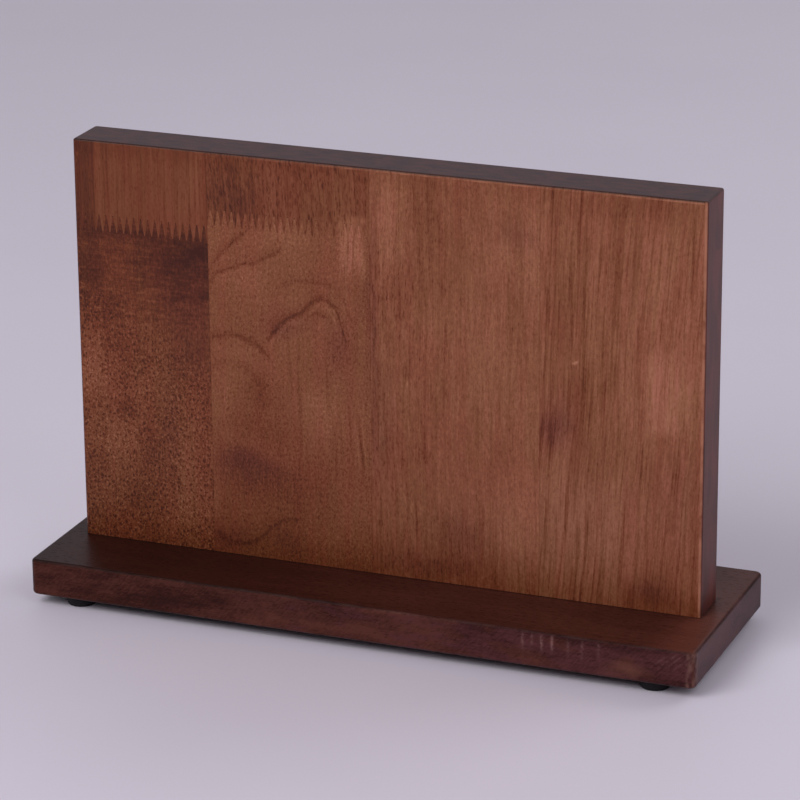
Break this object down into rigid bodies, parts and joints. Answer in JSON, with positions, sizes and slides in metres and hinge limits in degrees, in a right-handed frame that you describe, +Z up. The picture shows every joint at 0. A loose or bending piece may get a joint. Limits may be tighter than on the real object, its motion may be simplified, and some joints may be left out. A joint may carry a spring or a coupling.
{
  "type": "magnetic knife stand",
  "caption": "Upright two-sided wooden board of finger-jointed staves on a flat wooden base with rubber feet; inner magnets hold knives on both faces.",
  "frame": {"origin": "centre of the footprint, on the surface that the feet stand on", "axes": "+X along the board's length, +Y towards the rear face, +Z up; the front face looks along -Y"},
  "size_m": [0.372, 0.12, 0.2478],
  "materials": {
    "board_wood": "brown stained hardwood, satin lacquer",
    "base_wood": "darker brown stained hardwood, satin lacquer",
    "dowel_wood": "raw beech",
    "magnet": "dark grey sintered ferrite",
    "keeper_steel": "zinc-plated strip",
    "washer_steel": "zinc-plated",
    "screw_steel": "zinc-plated",
    "foot_rubber": "black moulded rubber"
  },
  "bodies": {
    "root": {"base_front_stave": "base_wood", "base_rear_stave": "base_wood", "base_screw_left": "screw_steel", "base_screw_middle": "screw_steel", "base_screw_right": "screw_steel", "dowel_left": "dowel_wood", "dowel_right": "dowel_wood", "foot_front_left": "foot_rubber", "foot_front_right": "foot_rubber", "foot_rear_left": "foot_rubber", "foot_rear_right": "foot_rubber", "foot_screw_front_left": "screw_steel", "foot_screw_front_right": "screw_steel", "foot_screw_rear_left": "screw_steel", "foot_screw_rear_right": "screw_steel", "foot_washer_front_left": "washer_steel", "foot_washer_front_right": "washer_steel", "foot_washer_rear_left": "washer_steel", "foot_washer_rear_right": "washer_steel", "front_lower_keeper": "keeper_steel", "front_lower_magnets": "magnet", "front_stave_1_lower": "board_wood", "front_stave_1_upper": "board_wood", "front_stave_2_lower": "board_wood", "front_stave_2_upper": "board_wood", "front_stave_3": "board_wood", "front_stave_4": "board_wood", "front_upper_keeper": "keeper_steel", "front_upper_magnets": "magnet", "rear_lower_keeper": "keeper_steel", "rear_lower_magnets": "magnet", "rear_stave_1": "board_wood", "rear_stave_2_lower": "board_wood", "rear_stave_2_upper": "board_wood", "rear_stave_3": "board_wood", "rear_stave_4_lower": "board_wood", "rear_stave_4_upper": "board_wood", "rear_upper_keeper": "keeper_steel", "rear_upper_magnets": "magnet"}
  },
  "joints": []
}
